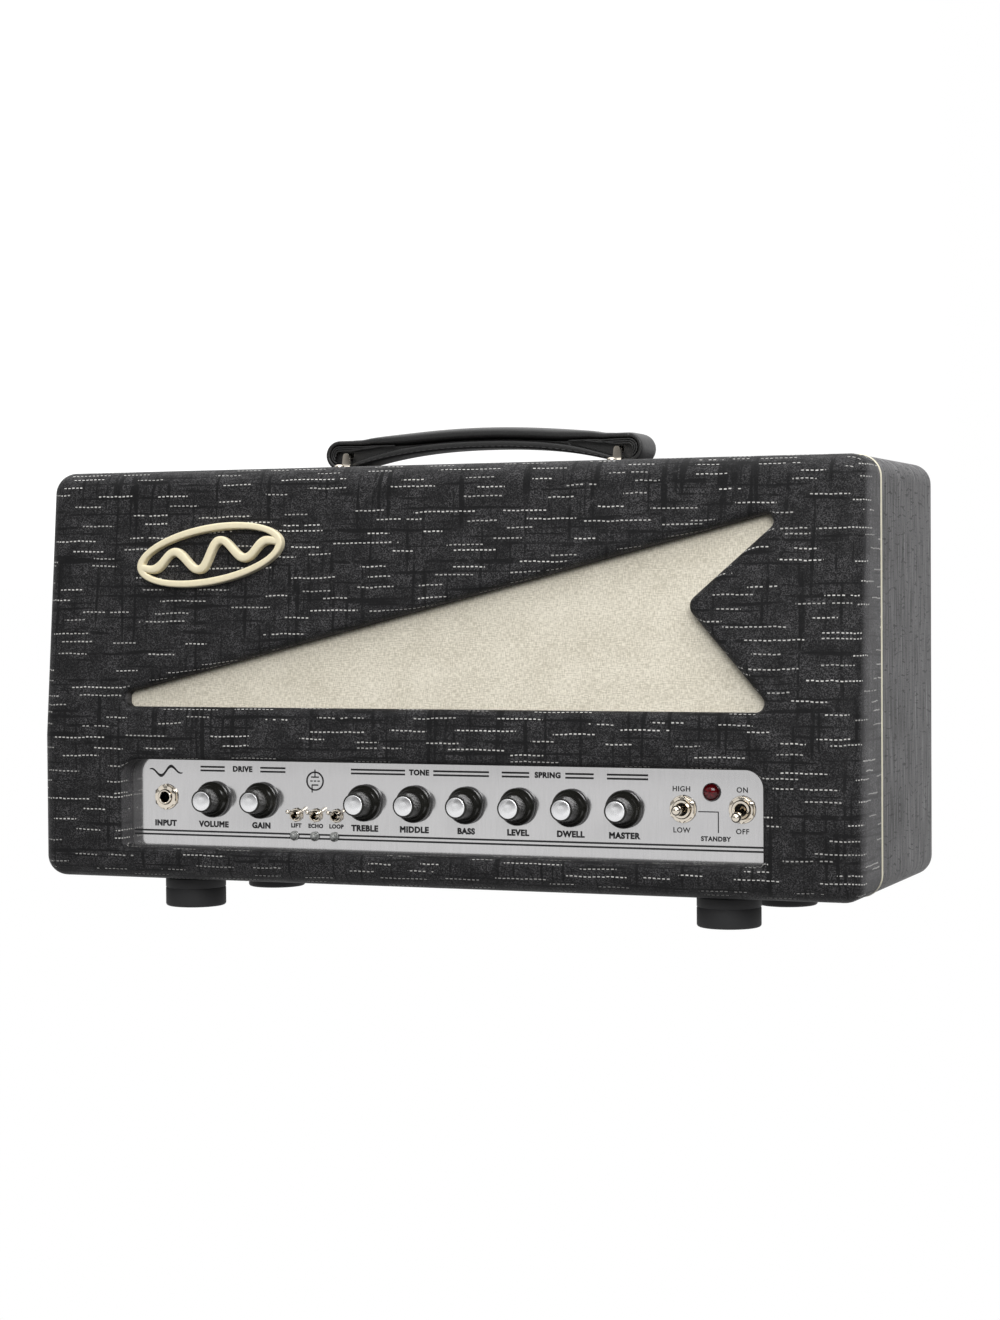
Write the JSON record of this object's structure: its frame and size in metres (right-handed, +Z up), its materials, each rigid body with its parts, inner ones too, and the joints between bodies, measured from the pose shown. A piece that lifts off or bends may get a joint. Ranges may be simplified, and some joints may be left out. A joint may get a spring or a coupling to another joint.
{
  "type": "guitar amplifier head",
  "caption": "Valve guitar amplifier head: covered wooden cabinet with a leaning cloth-grilled front, recessed control panel, padded handle, rubber feet and an open-backed chassis.",
  "frame": {"origin": "on the floor, under the middle of the whole object's box", "axes": "+Z up, the control panel faces -Y, +X to the right seen from the front"},
  "size_m": [0.526, 0.1828, 0.2966],
  "materials": {
    "covering": "plywood and solid wood boards wrapped in near-black woven-grain vinyl with short light-grey dashes",
    "piping": "cream vinyl piping, satin",
    "grille_cloth": "cream linen grille cloth, matt",
    "plywood": "bare birch plywood",
    "cream_moulding": "cream moulded plastic, semi-gloss",
    "rubber": "black rubber, matt",
    "leather": "black padded leather, satin",
    "nickel": "bright nickel plate",
    "steel": "zinc-plated folded steel sheet",
    "panel_aluminium": "polished aluminium with black print",
    "black_metal": "black powder coat",
    "knob_black": "black moulded plastic with a spun aluminium cap",
    "circuit_board": "green solder-masked fibreglass board",
    "transformer_black": "laminated iron core and black-painted end bells",
    "glass": "clear blown glass over a dark electrode structure",
    "red_jewel": "deep red domed lens",
    "clear_lens": "water-clear lens",
    "black_plastic": "black moulded plastic",
    "aluminium_can": "bare aluminium can"
  },
  "bodies": {
    "head": {"front_frame": "covering", "cabinet_shell": "covering", "rear_cover": "covering", "welt_piping": "piping", "vent_grille": "black_metal", "grille_cloth": "grille_cloth", "grille_board": "plywood", "badge": "cream_moulding", "foot_front_left": "rubber", "foot_front_right": "rubber", "foot_rear_left": "rubber", "foot_rear_right": "rubber", "handle_bracket_left": "nickel", "handle_bracket_right": "nickel", "chassis": "steel", "control_panel": "panel_aluminium", "rear_panel": "black_metal", "control_board": "circuit_board", "main_board": "circuit_board", "class_switch": "nickel", "power_switch": "nickel", "input_jack": "nickel", "pilot_jewel": "red_jewel", "mains_inlet": "black_plastic", "fuse_holder": "black_plastic", "power_transformer": "transformer_black", "output_transformer": "transformer_black", "reverb_tank": "steel", "power_tube_1": "glass", "power_tube_2": "glass", "preamp_tube_1": "glass", "preamp_tube_2": "glass", "preamp_tube_3": "glass", "preamp_tube_4": "glass", "filter_capacitor": "aluminium_can", "boost_switch": "nickel", "boost_indicator": "clear_lens", "reverb_switch": "nickel", "reverb_indicator": "clear_lens", "loop_switch": "nickel", "loop_indicator": "clear_lens", "speaker_jack_1": "nickel", "speaker_jack_2": "nickel", "loop_return_jack": "nickel", "loop_send_jack": "nickel", "footswitch_jack": "nickel"},
    "volume_knob_body": {"volume_knob": "knob_black"},
    "gain_knob_body": {"gain_knob": "knob_black"},
    "treble_knob_body": {"treble_knob": "knob_black"},
    "middle_knob_body": {"middle_knob": "knob_black"},
    "bass_knob_body": {"bass_knob": "knob_black"},
    "reverb_knob_body": {"reverb_knob": "knob_black"},
    "dwell_knob_body": {"dwell_knob": "knob_black"},
    "master_knob_body": {"master_knob": "knob_black"},
    "class_lever_body": {"class_lever": "nickel"},
    "power_lever_body": {"power_lever": "nickel"},
    "carry_handle_body": {"carry_handle": "leather"},
    "boost_lever_body": {"boost_lever": "nickel"},
    "reverb_lever_body": {"reverb_lever": "nickel"},
    "loop_lever_body": {"loop_lever": "nickel"}
  },
  "joints": [
    {"name": "volume_knob_turn", "type": "hinge", "parent": "head", "child": "volume_knob_body", "pos_m": [-0.1483, -0.0741, 0.06835], "axis": [0, 1, 0], "range_deg": [-150, 150]},
    {"name": "gain_knob_turn", "type": "hinge", "parent": "head", "child": "gain_knob_body", "pos_m": [-0.1157, -0.0741, 0.06835], "axis": [0, 1, 0], "range_deg": [-150, 150]},
    {"name": "treble_knob_turn", "type": "hinge", "parent": "head", "child": "treble_knob_body", "pos_m": [-0.0464, -0.0741, 0.06835], "axis": [0, 1, 0], "range_deg": [-150, 150]},
    {"name": "middle_knob_turn", "type": "hinge", "parent": "head", "child": "middle_knob_body", "pos_m": [-0.014, -0.0741, 0.06835], "axis": [0, 1, 0], "range_deg": [-150, 150]},
    {"name": "bass_knob_turn", "type": "hinge", "parent": "head", "child": "bass_knob_body", "pos_m": [0.0195, -0.0741, 0.06835], "axis": [0, 1, 0], "range_deg": [-150, 150]},
    {"name": "reverb_knob_turn", "type": "hinge", "parent": "head", "child": "reverb_knob_body", "pos_m": [0.0525, -0.0741, 0.06835], "axis": [0, 1, 0], "range_deg": [-150, 150]},
    {"name": "dwell_knob_turn", "type": "hinge", "parent": "head", "child": "dwell_knob_body", "pos_m": [0.0854, -0.0741, 0.06835], "axis": [0, 1, 0], "range_deg": [-150, 150]},
    {"name": "master_knob_turn", "type": "hinge", "parent": "head", "child": "master_knob_body", "pos_m": [0.1185, -0.0741, 0.06835], "axis": [0, 1, 0], "range_deg": [-150, 150]},
    {"name": "class_lever_tilt", "type": "hinge", "parent": "head", "child": "class_lever_body", "pos_m": [0.154, -0.0725, 0.06935], "axis": [-1, 0, 0], "range_deg": [-14.5, 14.5]},
    {"name": "power_lever_tilt", "type": "hinge", "parent": "head", "child": "power_lever_body", "pos_m": [0.1893, -0.0725, 0.06975], "axis": [-1, 0, 0], "range_deg": [0, 29]},
    {"name": "boost_lever_tilt", "type": "hinge", "parent": "head", "child": "boost_lever_body", "pos_m": [-0.092, -0.0745, 0.06015], "axis": [1, 0, 0], "range_deg": [0, 26]},
    {"name": "reverb_lever_tilt", "type": "hinge", "parent": "head", "child": "reverb_lever_body", "pos_m": [-0.0789, -0.0745, 0.06015], "axis": [1, 0, 0], "range_deg": [0, 26]},
    {"name": "loop_lever_tilt", "type": "hinge", "parent": "head", "child": "loop_lever_body", "pos_m": [-0.0651, -0.0745, 0.06015], "axis": [1, 0, 0], "range_deg": [0, 26]},
    {"name": "handle_lift", "type": "slide", "parent": "head", "child": "carry_handle_body", "axis": [0, 0, 1], "range_m": [0, 0.0032]}
  ]
}
